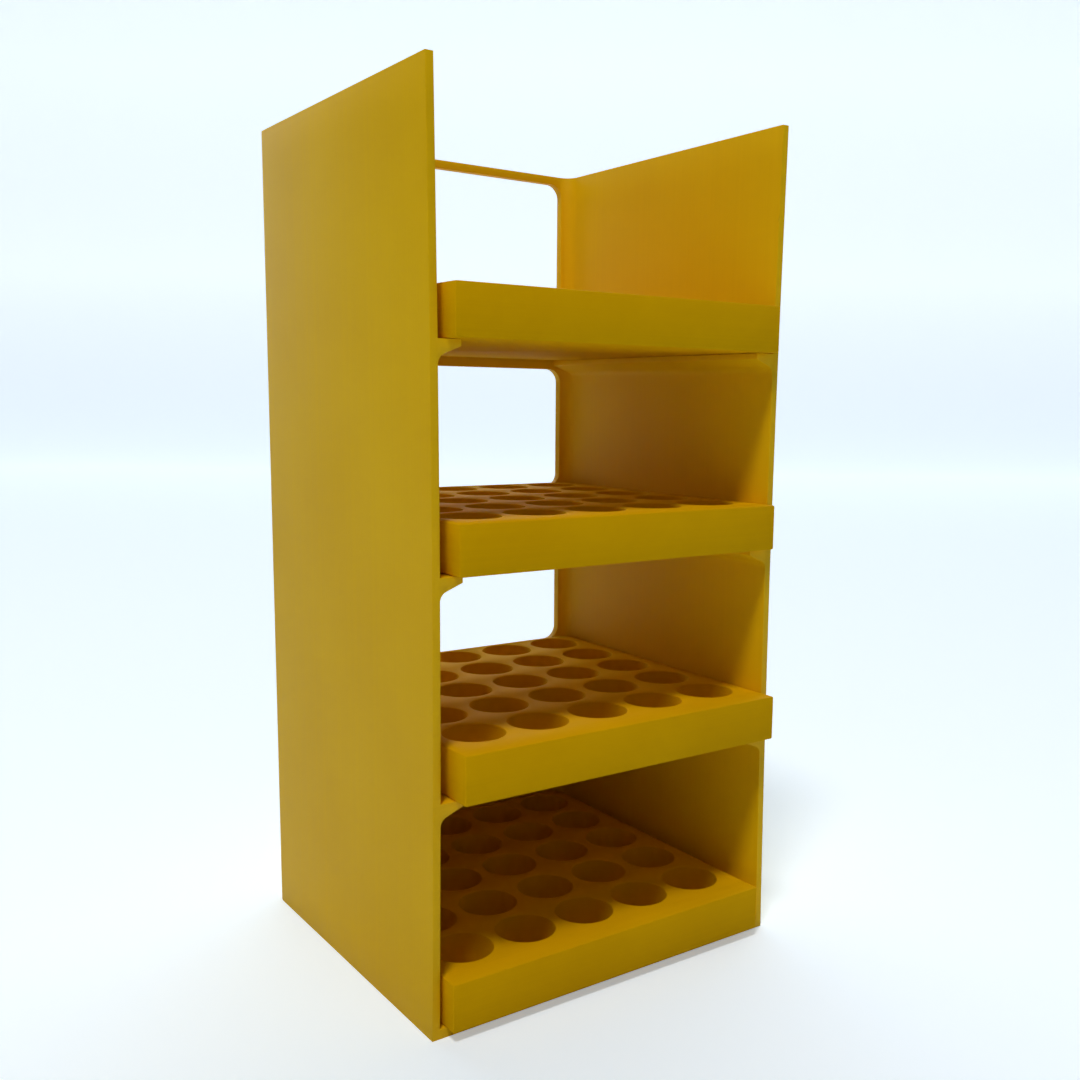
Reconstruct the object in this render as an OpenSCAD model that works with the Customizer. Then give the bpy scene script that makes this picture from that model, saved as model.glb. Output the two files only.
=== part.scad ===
// Rack for small sample tubes: an open frame with four loose trays that slide in on ledges.
// X runs across the front, Y runs from the open front to the back, Z is up.
// The origin is the middle of the frame's underside.

/* [Tube sockets] */
// Diameter of each tube socket
socket_d = 12.5; // [8:0.1:14]
// Depth of each tube socket
socket_depth = 8.2; // [4:0.1:20]
// Solid floor left under each socket
socket_floor = 1.5; // [0.8:0.1:4]
// Spacing of the sockets, both ways
socket_pitch = 15; // [15:0.5:30]
// Sockets across the front
socket_cols = 5; // [1:1:8]
// Sockets from front to back
socket_rows = 5; // [1:1:8]

/* [Trays] */
// From the tray's side to the first socket's centre
side_margin = 9.2; // [8:0.1:20]
// From the tray's front face to the first socket's centre
front_margin = 12.7; // [8:0.1:30]
// From the last socket's centre to the tray's back face
back_margin = 7.5; // [7.5:0.1:20]
// Radius of the tray's two upright back edges
tray_edge_r = 4; // [3.5:0.1:6]
// How far each tray stands out of the frame, top tray first
tray_pull = [3.3, 2.5, 4.2, 3.2]; // [1:0.1:60]
// How far each tray sits to the right of the middle, top tray first
tray_shift = [0, 1.2, 1.2, -1]; // [-1.5:0.1:1.5]

/* [Frame] */
// Thickness of the two side walls
wall = 1.6; // [1.2:0.1:4]
// Thickness of the back panel
back_wall = 2; // [1.2:0.1:4]
// Thickness of the base plate
base_plate = 2; // [1.2:0.1:5]
// Clearance at each side of a tray that sits in the middle
side_gap = 2.2; // [1.8:0.1:4]
// Clearance between the back panel and the tray that is furthest in
back_gap = 0.3; // [0.2:0.1:10]
// From the base plate to the lowest pair of ledges
first_step = 44.3; // [30:0.1:80]
// From each pair of ledges to the next pair up
level_step = 42.3; // [30:0.1:80]
// Height of the walls above the top tray
head_room = 37.6; // [10:0.1:80]
// Outer radius of the two upright back edges
outer_edge_r = 5; // [2.5:0.1:12]
// Inner radius of the two upright back corners
inner_corner_r = 3.2; // [0.5:0.1:3.4]

/* [Ledges] */
// How far a ledge reaches under a tray that is pushed right across to the other wall
ledge_hold = 0.3; // [0.2:0.1:4]
// Thickness of the ledge at its free edge
ledge_tip = 1.2; // [0.8:0.1:3]
// Slope of the ledge's underside, in degrees
ledge_slope = 22; // [5:1:45]
// Radius that blends the ledge's underside into the wall
ledge_fillet = 2; // [0.5:0.1:4]
// Clearance under each tray
seat_gap = 0.1; // [0.05:0.05:0.5]

/* [Windows] */
// Panel left beside each window, from the wall's inner face
window_side = 2.6; // [1:0.1:20]
// Panel left above each ledge, below the window
window_sill = 8.7; // [2:0.1:20]
// Panel left below each ledge, above the window
window_head = 2.2; // [1.5:0.1:10]
// Panel left above the top window
top_strip = 1.9; // [1:0.1:10]
// Corner radius of the windows
window_r = 3.5; // [0.5:0.1:8]

/* [Hidden] */
$fn = 64;
yellow = [0.78, 0.58, 0.05];

tray_t = socket_depth + socket_floor;
tray_w = 2 * side_margin + (socket_cols - 1) * socket_pitch;
tray_d = front_margin + (socket_rows - 1) * socket_pitch + back_margin;

inner_w = tray_w + 2 * side_gap;
inner_d = tray_d - min(tray_pull) + back_gap;
frame_w = inner_w + 2 * wall;
frame_d = inner_d + back_wall;
front_y = -frame_d / 2;
ledge_w = 2 * side_gap + ledge_hold;

// Height of the surface each tray rests on, top tray first
tray_count = len(tray_pull);
seats = [
    for (i = [0 : tray_count - 1])
        let (level = tray_count - 1 - i)
            base_plate + (level > 0 ? first_step + (level - 1) * level_step : 0)
];
frame_h = seats[0] + seat_gap + tray_t + head_room;

// Rectangle from y = 0 to y = d, centred on x, with its two back corners rounded
module round_back(w, d, r) {
    translate([-w / 2, 0]) square([w, d - r]);
    translate([-w / 2 + r, 0]) square([w - 2 * r, d]);
    for (side = [-1, 1])
        translate([side * (w / 2 - r), d - r]) circle(r);
}

// Rounded rectangle from y = 0 to y = h, centred on x
module round_rect(w, h, r) {
    translate([-w / 2 + r, 0]) square([w - 2 * r, h]);
    translate([-w / 2, r]) square([w, h - 2 * r]);
    for (side = [-1, 1], y = [r, h - r])
        translate([side * (w / 2 - r), y]) circle(r);
}

// Cross-section of the left ledge: x from the wall's inner face, y up from the seat
module ledge_section() {
    foot = -ledge_tip - ledge_w * tan(ledge_slope);
    reach = ledge_fillet * tan((90 - ledge_slope) / 2);
    steps = 8;
    blend = [
        for (k = [0 : steps])
            let (turn = 90 + ledge_slope + (90 - ledge_slope) * k / steps)
                [ledge_fillet * (1 + cos(turn)), foot - reach + ledge_fillet * sin(turn)]
    ];
    polygon(concat(
        [[-wall / 2, 0], [ledge_w, 0], [ledge_w, -ledge_tip]],
        blend,
        [[-wall / 2, foot - reach]]
    ));
}

module ledge_pair(seat) {
    for (side = [0, 1])
        mirror([side, 0, 0])
            translate([-inner_w / 2, inner_d, seat])
                rotate([90, 0, 0])
                    linear_extrude(inner_d) ledge_section();
}

module window(z_low, z_high) {
    translate([0, frame_d + 1, z_low])
        rotate([90, 0, 0])
            linear_extrude(back_wall + inner_corner_r + 2)
                round_rect(inner_w - 2 * window_side, z_high - z_low, window_r);
}

module frame() {
    color(yellow)
        translate([0, front_y, 0]) {
            difference() {
                linear_extrude(frame_h) round_back(frame_w, frame_d, outer_edge_r);
                translate([0, -1, base_plate])
                    linear_extrude(frame_h) round_back(inner_w, inner_d + 1, inner_corner_r);
                window(seats[0] + window_sill, frame_h - top_strip);
                // The panel behind the lowest tray stays closed
                for (i = [1 : 1 : tray_count - 2])
                    window(seats[i] + window_sill, seats[i - 1] - window_head);
            }
            for (i = [0 : 1 : tray_count - 2]) ledge_pair(seats[i]);
        }
}

module tray(i) {
    color(yellow)
        translate([tray_shift[i], front_y - tray_pull[i], seats[i] + seat_gap])
            difference() {
                linear_extrude(tray_t) round_back(tray_w, tray_d, tray_edge_r);
                for (col = [0 : socket_cols - 1], row = [0 : socket_rows - 1])
                    translate([
                        -tray_w / 2 + side_margin + col * socket_pitch,
                        front_margin + row * socket_pitch,
                        socket_floor
                    ])
                        cylinder(h = socket_depth + 1, d = socket_d);
            }
}

module tray_1() tray(0);
module tray_2() tray(1);
module tray_3() tray(2);
module tray_4() tray(3);

frame();
tray_1();
tray_2();
tray_3();
tray_4();
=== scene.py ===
import math
import bpy
import bmesh
from mathutils import Matrix, Vector


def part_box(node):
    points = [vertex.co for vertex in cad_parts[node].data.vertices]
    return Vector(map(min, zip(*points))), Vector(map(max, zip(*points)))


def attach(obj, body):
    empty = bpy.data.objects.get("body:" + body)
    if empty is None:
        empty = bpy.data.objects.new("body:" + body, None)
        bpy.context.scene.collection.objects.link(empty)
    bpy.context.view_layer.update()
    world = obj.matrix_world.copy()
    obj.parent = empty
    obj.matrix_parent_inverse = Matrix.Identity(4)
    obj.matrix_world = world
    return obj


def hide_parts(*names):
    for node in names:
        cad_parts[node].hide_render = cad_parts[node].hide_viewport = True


mm = 0.001
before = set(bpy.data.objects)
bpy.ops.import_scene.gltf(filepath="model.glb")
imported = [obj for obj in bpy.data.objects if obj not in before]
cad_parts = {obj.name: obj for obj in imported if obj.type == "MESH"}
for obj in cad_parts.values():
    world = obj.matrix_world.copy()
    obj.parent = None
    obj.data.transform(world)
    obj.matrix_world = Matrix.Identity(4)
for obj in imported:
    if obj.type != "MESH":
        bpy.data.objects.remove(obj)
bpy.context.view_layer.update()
scene = bpy.context.scene
scene.view_settings.view_transform = "Standard"
print("packed rack loaded, nodes:", sorted(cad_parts))


# ---------- small helpers ----------

smoothBelow = math.radians(32)
edgeSegments = 2


def newPiece(name, bm):
    mesh = bpy.data.meshes.new(name)
    bm.to_mesh(mesh)
    bm.free()
    piece = bpy.data.objects.new(name, mesh)
    scene.collection.objects.link(piece)
    return piece


def sharpEdges(bm, angle):
    return [e for e in bm.edges if len(e.link_faces) == 2 and e.calc_face_angle(0.0) > angle]


def shadeByAngle(piece, angle):
    for polygon in piece.data.polygons:
        polygon.use_smooth = True
    bm = bmesh.new()
    bm.from_mesh(piece.data)
    for edge in bm.edges:
        edge.smooth = len(edge.link_faces) == 2 and edge.calc_face_angle(0.0) < angle
    bm.to_mesh(piece.data)
    bm.free()


def addNode(nodes, kind, **values):
    node = nodes.new(kind)
    for key, value in values.items():
        setattr(node, key, value)
    return node


# ---------- printed plastic ----------

framePlasticLook = {
    "color": (0.93, 0.555, 0.001),
    "deepColor": (0.88, 0.51, 0.0006),
    "roughness": 0.5,
    "gloss": 0.15,
    "cloudScale": 28.0,
    "lineStretch": 9.0,
    "lineTone": 0.25,
    "layerPitch": 0.42 * mm,
    "rasterPitch": 0.5 * mm,
    "bump": 0.35,
}

trayPlasticLook = {
    "color": (0.82, 0.45, 0.001),
    "deepColor": (0.76, 0.405, 0.0006),
    "roughness": 0.68,
    "gloss": 0.012,
    "cloudScale": 34.0,
    "lineStretch": 9.0,
    "lineTone": 0.3,
    "layerPitch": 0.3 * mm,
    "rasterPitch": 0.45 * mm,
    "bump": 0.4,
}

plasticDetail = {
    "lineDetail": 2.0,
    "lineRoughness": 0.6,
    "cloudDetail": 3.0,
    "squareOnFrom": 0.72,
    "deepUntil": 0.36,
    "fullFrom": 0.64,
    "roughnessSwing": 0.16,
    "bumpDepth": 0.05 * mm,
}


def mathNode(tree, operation, first, second):
    node = addNode(tree.nodes, "ShaderNodeMath", operation=operation)
    for socket, value in zip(node.inputs, (first, second)):
        if isinstance(value, (int, float)):
            socket.default_value = value
        else:
            tree.links.new(value, socket)
    return node.outputs[0]


def lineNoise(tree, across, along, pitch, stretch):
    # streaks that vary quickly across the beads and slowly along them
    vector = addNode(tree.nodes, "ShaderNodeCombineXYZ")
    tree.links.new(mathNode(tree, "MULTIPLY", across, 1.0 / pitch), vector.inputs[0])
    tree.links.new(mathNode(tree, "MULTIPLY", along, stretch), vector.inputs[1])
    noise = addNode(tree.nodes, "ShaderNodeTexNoise")
    noise.inputs["Scale"].default_value = 1.0
    noise.inputs["Detail"].default_value = plasticDetail["lineDetail"]
    noise.inputs["Roughness"].default_value = plasticDetail["lineRoughness"]
    tree.links.new(vector.outputs[0], noise.inputs["Vector"])
    return noise.outputs["Fac"]


def printedPlastic(name, layerAxis, look):
    # layerAxis is the direction the print grew in; faces square to it show raster beads instead
    material = bpy.data.materials.new(name)
    material.use_nodes = True
    tree = material.node_tree
    nodes, links = tree.nodes, tree.links
    nodes.clear()
    output = addNode(nodes, "ShaderNodeOutputMaterial")
    shader = addNode(nodes, "ShaderNodeBsdfPrincipled")
    links.new(shader.outputs[0], output.inputs[0])
    shader.inputs["Specular IOR Level"].default_value = look["gloss"]
    coords = addNode(nodes, "ShaderNodeTexCoord")
    place = addNode(nodes, "ShaderNodeSeparateXYZ")
    facing = addNode(nodes, "ShaderNodeSeparateXYZ")
    links.new(coords.outputs["Object"], place.inputs[0])
    links.new(coords.outputs["Normal"], facing.inputs[0])
    x, y, z = place.outputs
    grow = {"Y": (y, facing.outputs[1], z, x), "Z": (z, facing.outputs[2], y, x)}[layerAxis]
    layerCoord, growFacing, rasterCoord, along = grow
    squareOn = mathNode(tree, "GREATER_THAN", mathNode(tree, "ABSOLUTE", growFacing, 0.0),
                        plasticDetail["squareOnFrom"])

    layers = lineNoise(tree, layerCoord, along, look["layerPitch"], look["lineStretch"])
    raster = lineNoise(tree, rasterCoord, along, look["rasterPitch"], look["lineStretch"])
    lines = addNode(nodes, "ShaderNodeMix", data_type="FLOAT")
    links.new(squareOn, lines.inputs[0])
    links.new(layers, lines.inputs[2])
    links.new(raster, lines.inputs[3])

    cloud = addNode(nodes, "ShaderNodeTexNoise")
    cloud.inputs["Scale"].default_value = look["cloudScale"]
    cloud.inputs["Detail"].default_value = plasticDetail["cloudDetail"]
    links.new(coords.outputs["Object"], cloud.inputs["Vector"])
    share = look["lineTone"]
    tone = mathNode(tree, "ADD", mathNode(tree, "MULTIPLY", lines.outputs[0], share),
                    mathNode(tree, "MULTIPLY", cloud.outputs["Fac"], 1.0 - share))
    ramp = addNode(nodes, "ShaderNodeValToRGB")
    ramp.color_ramp.elements[0].position = plasticDetail["deepUntil"]
    ramp.color_ramp.elements[0].color = (*look["deepColor"], 1.0)
    ramp.color_ramp.elements[1].position = plasticDetail["fullFrom"]
    ramp.color_ramp.elements[1].color = (*look["color"], 1.0)
    links.new(tone, ramp.inputs[0])
    links.new(ramp.outputs[0], shader.inputs["Base Color"])

    swing = plasticDetail["roughnessSwing"]
    rough = mathNode(tree, "ADD", mathNode(tree, "MULTIPLY", lines.outputs[0], swing),
                     look["roughness"] - swing / 2.0)
    links.new(rough, shader.inputs["Roughness"])
    bumpNode = addNode(nodes, "ShaderNodeBump")
    bumpNode.inputs["Strength"].default_value = look["bump"]
    bumpNode.inputs["Distance"].default_value = plasticDetail["bumpDepth"]
    links.new(lines.outputs[0], bumpNode.inputs["Height"])
    links.new(bumpNode.outputs[0], shader.inputs["Normal"])
    return material


framePlastic = printedPlastic("framePlastic", "Y", framePlasticLook)
trayPlastic = printedPlastic("trayPlastic", "Z", trayPlasticLook)
print("printed plastic ready")


# ---------- frame ----------

frameSettings = {
    "edgeRadius": 0.25 * mm,
    "sharpAbove": math.radians(35),
    "weldDistance": 0.002 * mm,
    "flatWithin": math.radians(0.5),
    "topClear": 1.0 * mm,
    "sliceStep": 9.0 * mm,
    "leftBow": 0.65 * mm,  # the walls sag inwards a little between top and bottom
    "rightBow": 0.95 * mm,
    "bowFrom": 35.0 * mm,
}


def buildFrame(settings):
    low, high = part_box("frame")
    height = high.z - low.z
    depth = high.y - low.y
    bm = bmesh.new()
    bm.from_mesh(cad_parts["frame"].data)
    bmesh.ops.remove_doubles(bm, verts=bm.verts, dist=settings["weldDistance"])
    bmesh.ops.dissolve_limit(bm, angle_limit=settings["flatWithin"], verts=bm.verts,
                             edges=bm.edges)
    bmesh.ops.bevel(bm, geom=sharpEdges(bm, settings["sharpAbove"]), offset=settings["edgeRadius"],
                    offset_type="OFFSET", segments=edgeSegments, profile=0.5, affect="EDGES",
                    clamp_overlap=True, material=-1)
    bmesh.ops.triangulate(bm, faces=[f for f in bm.faces if len(f.verts) > 4])
    cut = low.z + settings["sliceStep"]
    while cut < high.z - settings["topClear"]:
        bmesh.ops.bisect_plane(bm, geom=list(bm.verts) + list(bm.edges) + list(bm.faces),
                               plane_co=(0, 0, cut), plane_no=(0, 0, 1), dist=0.001 * mm)
        cut += settings["sliceStep"]
    for vert in bm.verts:
        side = vert.co.x
        if abs(side) < settings["bowFrom"]:
            continue
        rise = math.sin(math.pi * (vert.co.z - low.z) / height)
        nearFront = (high.y - vert.co.y) / depth
        bow = settings["leftBow"] if side < 0 else -settings["rightBow"]
        vert.co.x += bow * rise * nearFront
    piece = newPiece("rackFrame", bm)
    piece.data.materials.append(framePlastic)
    shadeByAngle(piece, smoothBelow)
    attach(piece, "frame")
    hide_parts("frame")
    return piece


rackFrame = buildFrame(frameSettings)
print("frame built, faces:", len(rackFrame.data.polygons))


# ---------- trays ----------

traySettings = {
    "socketRadius": 6.25 * mm,
    "socketPitch": 15.0 * mm,
    "sideMargin": 9.2 * mm,
    "frontMargin": 12.7 * mm,
    "socketFloor": 1.5 * mm,
    "perSide": 5,
    "backRadius": 4.0 * mm,
    "backSegments": 10,
    "sharpAbove": math.radians(40),
    "rimRadius": 0.35 * mm,
    "socketSides": 64,
}


def buildTray(node, settings):
    low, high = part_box(node)
    bm = bmesh.new()
    # slab outline with its two back corners rounded
    corners = [bm.verts.new(p) for p in ((low.x, low.y, high.z), (high.x, low.y, high.z),
                                         (high.x, high.y, high.z), (low.x, high.y, high.z))]
    bm.faces.new(corners)
    bmesh.ops.bevel(bm, geom=corners[2:], offset=settings["backRadius"], offset_type="OFFSET",
                    segments=settings["backSegments"], profile=0.5, affect="VERTICES", material=-1)
    outline = list(bm.edges)
    bmesh.ops.delete(bm, geom=list(bm.faces), context="FACES_ONLY")
    rims = []
    for row in range(settings["perSide"]):
        for column in range(settings["perSide"]):
            center = Vector((low.x + settings["sideMargin"] + column * settings["socketPitch"],
                             low.y + settings["frontMargin"] + row * settings["socketPitch"],
                             high.z))
            ring = bmesh.ops.create_circle(bm, cap_ends=False, radius=settings["socketRadius"],
                                           segments=settings["socketSides"],
                                           matrix=Matrix.Translation(center))
            rims.append(list({e for v in ring["verts"] for e in v.link_edges}))
    allRims = [e for rim in rims for e in rim]
    bmesh.ops.triangle_fill(bm, edges=outline + allRims, use_beauty=True, normal=(0, 0, 1))
    # socket walls and floors
    socketFloor = low.z + settings["socketFloor"]
    for rim in rims:
        walls = bmesh.ops.extrude_edge_only(bm, edges=rim)["geom"]
        lower = [v for v in walls if isinstance(v, bmesh.types.BMVert)]
        for vert in lower:
            vert.co.z = socketFloor
        bottomEdges = [e for e in walls if isinstance(e, bmesh.types.BMEdge)
                       and all(abs(v.co.z - socketFloor) < 1e-7 for v in e.verts)]
        bmesh.ops.contextual_create(bm, geom=bottomEdges)
    sides = bmesh.ops.extrude_edge_only(bm, edges=outline)["geom"]
    for vert in (v for v in sides if isinstance(v, bmesh.types.BMVert)):
        vert.co.z = low.z
    underEdges = [e for e in sides if isinstance(e, bmesh.types.BMEdge)
                  and all(abs(v.co.z - low.z) < 1e-7 for v in e.verts)]
    bmesh.ops.contextual_create(bm, geom=underEdges)
    bmesh.ops.recalc_face_normals(bm, faces=bm.faces)
    bmesh.ops.bevel(bm, geom=sharpEdges(bm, settings["sharpAbove"]), offset=settings["rimRadius"],
                    offset_type="OFFSET", segments=edgeSegments, profile=0.5, affect="EDGES",
                    clamp_overlap=True, material=-1)
    piece = newPiece(node.replace("_", "") + "Slab", bm)
    piece.data.materials.append(trayPlastic)
    shadeByAngle(piece, smoothBelow)
    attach(piece, node)
    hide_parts(node)
    return piece


for node in ("tray_1", "tray_2", "tray_3", "tray_4"):
    tray = buildTray(node, traySettings)
    print(node, "built, faces:", len(tray.data.polygons))


# ---------- floor and backdrop ----------

stageSettings = {
    "halfWidth": 4.0,
    "back": 2.6,
    "front": 3.0,
    "wallHeight": 3.2,
    "sweep": 0.9,
    "sweepSegments": 24,
    "turn": -0.63,
    "roughness": 0.9,
    "gloss": 0.1,
    "glowColor": (0.86, 0.94, 1.0),
    "glowRise": 0.4,
    "color": (0.80, 0.87, 0.93),
    "floorLight": 0.0,
    "wallLight": 1.9,
    "floorSeen": 0.37,
    "wallSeen": 0.72,
}


def buildStage(settings):
    bm = bmesh.new()
    wide = settings["halfWidth"]
    front, back = -settings["front"], settings["back"]
    outline = ((-wide, front, 0), (wide, front, 0), (wide, back, 0), (-wide, back, 0))
    floorFace = bm.faces.new([bm.verts.new(p) for p in outline])
    backEdge = [e for e in floorFace.edges if all(v.co.y > 0 for v in e.verts)]
    grown = bmesh.ops.extrude_edge_only(bm, edges=backEdge)["geom"]
    for vert in (v for v in grown if isinstance(v, bmesh.types.BMVert)):
        vert.co.z += settings["wallHeight"]
    bend = [e for e in bm.edges if all(v.co.y > 0 and abs(v.co.z) < 1e-6 for v in e.verts)]
    bmesh.ops.bevel(bm, geom=bend, offset=settings["sweep"], offset_type="OFFSET",
                    segments=settings["sweepSegments"], profile=0.5, affect="EDGES", material=-1)
    bmesh.ops.transform(bm, matrix=Matrix.Rotation(settings["turn"], 4, "Z"), verts=bm.verts)
    stage = newPiece("studioSweep", bm)
    for polygon in stage.data.polygons:
        polygon.use_smooth = True
    material = bpy.data.materials.new("palePaper")
    material.use_nodes = True
    tree = material.node_tree
    shader = tree.nodes["Principled BSDF"]
    shader.inputs["Base Color"].default_value = (*settings["color"], 1.0)
    shader.inputs["Roughness"].default_value = settings["roughness"]
    shader.inputs["Specular IOR Level"].default_value = settings["gloss"]
    shader.inputs["Emission Color"].default_value = (*settings["glowColor"], 1.0)
    coords = addNode(tree.nodes, "ShaderNodeTexCoord")
    split = addNode(tree.nodes, "ShaderNodeSeparateXYZ")
    tree.links.new(coords.outputs["Object"], split.inputs[0])
    seen = addNode(tree.nodes, "ShaderNodeLightPath")
    glow = addNode(tree.nodes, "ShaderNodeMix", data_type="FLOAT")
    tree.links.new(seen.outputs["Is Camera Ray"], glow.inputs[0])
    for socket, use in ((2, "Light"), (3, "Seen")):
        rise = addNode(tree.nodes, "ShaderNodeMapRange")
        rise.inputs["From Max"].default_value = settings["glowRise"]
        rise.inputs["To Min"].default_value = settings["floor" + use]
        rise.inputs["To Max"].default_value = settings["wall" + use]
        tree.links.new(split.outputs[2], rise.inputs["Value"])
        tree.links.new(rise.outputs[0], glow.inputs[socket])
    tree.links.new(glow.outputs[0], shader.inputs["Emission Strength"])
    stage.data.materials.append(material)


buildStage(stageSettings)


# ---------- light ----------

lightSettings = {
    "aim": Vector((0.0, 0.0, 0.09)),
    "lampColor": (1.0, 0.98, 0.95),
    "airColor": (0.90, 0.95, 1.0),
    "keyTravel": Vector((0.34, 0.31, -0.88)),
    "keyDistance": 1.6,
    "keySize": 0.3,
    "keyPower": 11.4,
    "sideTravel": Vector((0.86, 0.12, -0.42)),
    "sideDistance": 1.8,
    "sideSize": 1.4,
    "sidePower": 0.6,
    "airStrength": 0.09,
    "paleStrength": 0.97,
}


def areaLight(name, travel, distance, size, power):
    data = bpy.data.lights.new(name, "AREA")
    data.shape = "DISK"
    data.size = size
    data.energy = power
    data.color = lightSettings["lampColor"]
    lamp = bpy.data.objects.new(name, data)
    scene.collection.objects.link(lamp)
    direction = travel.normalized()
    lamp.location = lightSettings["aim"] - direction * distance
    lamp.rotation_euler = direction.to_track_quat("-Z", "Y").to_euler()


areaLight("keyLight", lightSettings["keyTravel"], lightSettings["keyDistance"],
          lightSettings["keySize"], lightSettings["keyPower"])
areaLight("sideLight", lightSettings["sideTravel"], lightSettings["sideDistance"],
          lightSettings["sideSize"], lightSettings["sidePower"])
world = bpy.data.worlds.new("studioAir")
scene.world = world
world.use_nodes = True
worldTree = world.node_tree
airLight = worldTree.nodes["Background"]
airLight.inputs["Color"].default_value = (*lightSettings["airColor"], 1.0)
airLight.inputs["Strength"].default_value = lightSettings["airStrength"]
# past the sweep the air is seen much paler than the light it gives
paleAir = addNode(worldTree.nodes, "ShaderNodeBackground")
paleAir.inputs["Color"].default_value = (*stageSettings["glowColor"], 1.0)
paleAir.inputs["Strength"].default_value = lightSettings["paleStrength"]
seen = addNode(worldTree.nodes, "ShaderNodeLightPath")
pick = addNode(worldTree.nodes, "ShaderNodeMixShader")
worldTree.links.new(seen.outputs["Is Camera Ray"], pick.inputs[0])
worldTree.links.new(airLight.outputs[0], pick.inputs[1])
worldTree.links.new(paleAir.outputs[0], pick.inputs[2])
worldTree.links.new(pick.outputs[0], worldTree.nodes["World Output"].inputs[0])
print("studio ready")


# ---------- camera ----------

cameraSettings = {
    "place": Vector((-0.1391, -0.2198, 0.1204)),
    "yaw": 0.628,
    "pitch": 0.143,
    "roll": 0.012,
    "lens": 38.25,
    "shiftX": -0.0421,
    "shiftY": 0.0242,
    "sensorWidth": 36.0,
    "clipStart": 0.01,
}


def buildCamera(settings):
    yaw, pitch, roll = settings["yaw"], settings["pitch"], settings["roll"]
    ahead = Vector((math.sin(yaw) * math.cos(pitch), math.cos(yaw) * math.cos(pitch),
                    -math.sin(pitch)))
    level = Vector((math.cos(yaw), -math.sin(yaw), 0.0))
    upright = level.cross(ahead)
    right = level * math.cos(roll) + upright * math.sin(roll)
    up = upright * math.cos(roll) - level * math.sin(roll)
    data = bpy.data.cameras.new("benchCamera")
    data.sensor_width = settings["sensorWidth"]
    data.lens = settings["lens"]
    data.shift_x = settings["shiftX"]
    data.shift_y = settings["shiftY"]
    data.clip_start = settings["clipStart"]
    camera = bpy.data.objects.new("benchCamera", data)
    scene.collection.objects.link(camera)
    turned = Matrix((right, up, -ahead)).transposed().to_4x4()
    camera.matrix_world = Matrix.Translation(settings["place"]) @ turned
    scene.camera = camera


buildCamera(cameraSettings)
bpy.context.view_layer.update()
